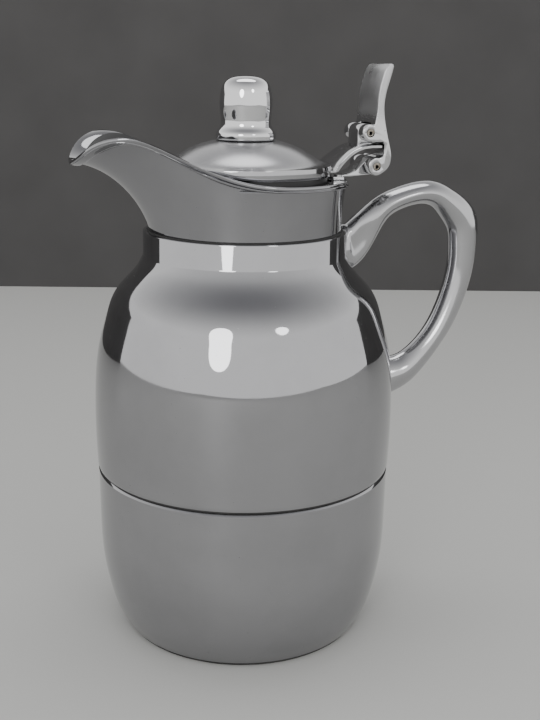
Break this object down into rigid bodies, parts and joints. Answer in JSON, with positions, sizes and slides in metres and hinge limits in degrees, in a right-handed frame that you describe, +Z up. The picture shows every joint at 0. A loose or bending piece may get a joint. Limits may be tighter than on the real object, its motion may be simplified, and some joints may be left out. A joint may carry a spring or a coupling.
{
  "type": "vacuum coffee jug",
  "caption": "Chromed vacuum coffee jug with a glass flask, a wide open spout, a loop handle and a domed lid that a thumb lever lifts.",
  "frame": {"origin": "on the jug's own axis, on the surface it stands on", "axes": "+Z up along the body's axis, -X towards the spout's tip, +X towards the handle, Y along the hinge pins"},
  "size_m": [0.1848, 0.1324, 0.2495],
  "materials": {
    "chrome_shell": "mirror chrome on a pressed steel body, with fine wiping scratches",
    "chrome_collar": "mirror chrome on a cast collar",
    "chrome_handle": "bright chrome on a cast handle, softer than the body's",
    "chrome_lid": "bright chrome, a little dulled by wiping",
    "chrome_hinge": "chrome on small castings, satin on the thumb plate",
    "pin_steel": "rolled spring steel, lightly darkened",
    "steel": "plain zinc-plated steel",
    "silvered_glass": "blown glass, silvered on the vacuum side",
    "black_plastic": "black moulded plastic, slightly satin",
    "black_rubber": "black rubber, matte",
    "clear_silicone": "milky silicone, satin",
    "felt_pad": "pressed fibre",
    "foam": "rigid insulating foam"
  },
  "bodies": {
    "jug": {"foot_ring": "black_rubber", "base_cup": "chrome_shell", "base_plug": "black_plastic", "seam_gasket": "black_rubber", "joint_ring": "black_plastic", "body_shell": "chrome_shell", "flask_cushion": "black_rubber", "flask_outer": "silvered_glass", "flask_inner": "silvered_glass", "flask_spacers": "felt_pad", "mouth_gasket": "clear_silicone", "neck_gasket": "black_rubber", "neck_nut": "black_plastic", "collar_spout": "chrome_collar", "spout_lining": "black_plastic", "pour_insert": "black_plastic", "handle": "chrome_handle", "handle_screws": "steel", "handle_washers": "steel", "hinge_bracket": "chrome_hinge", "bracket_screws": "steel"},
    "lever": {"thumb_lever": "chrome_hinge", "upper_pin": "pin_steel", "lower_pin": "pin_steel"},
    "lid": {"lid_cap": "chrome_lid", "lid_liner": "black_plastic", "lid_insulation": "foam", "lid_arm": "chrome_hinge", "lid_rivets": "steel", "stopper": "black_plastic", "stopper_seal": "clear_silicone", "knob": "chrome_lid", "knob_stud": "steel", "knob_nut": "steel"}
  },
  "joints": [
    {"name": "lever_hinge", "type": "hinge", "parent": "jug", "child": "lever", "pos_m": [0.0553, 0, 0.2068], "axis": [0, 1, 0], "range_deg": [0, 80]},
    {"name": "lid_float", "type": "hinge", "parent": "lever", "child": "lid", "pos_m": [0.0519, 0, 0.2209], "axis": [0, 1, 0], "range_deg": [0, 4]}
  ]
}
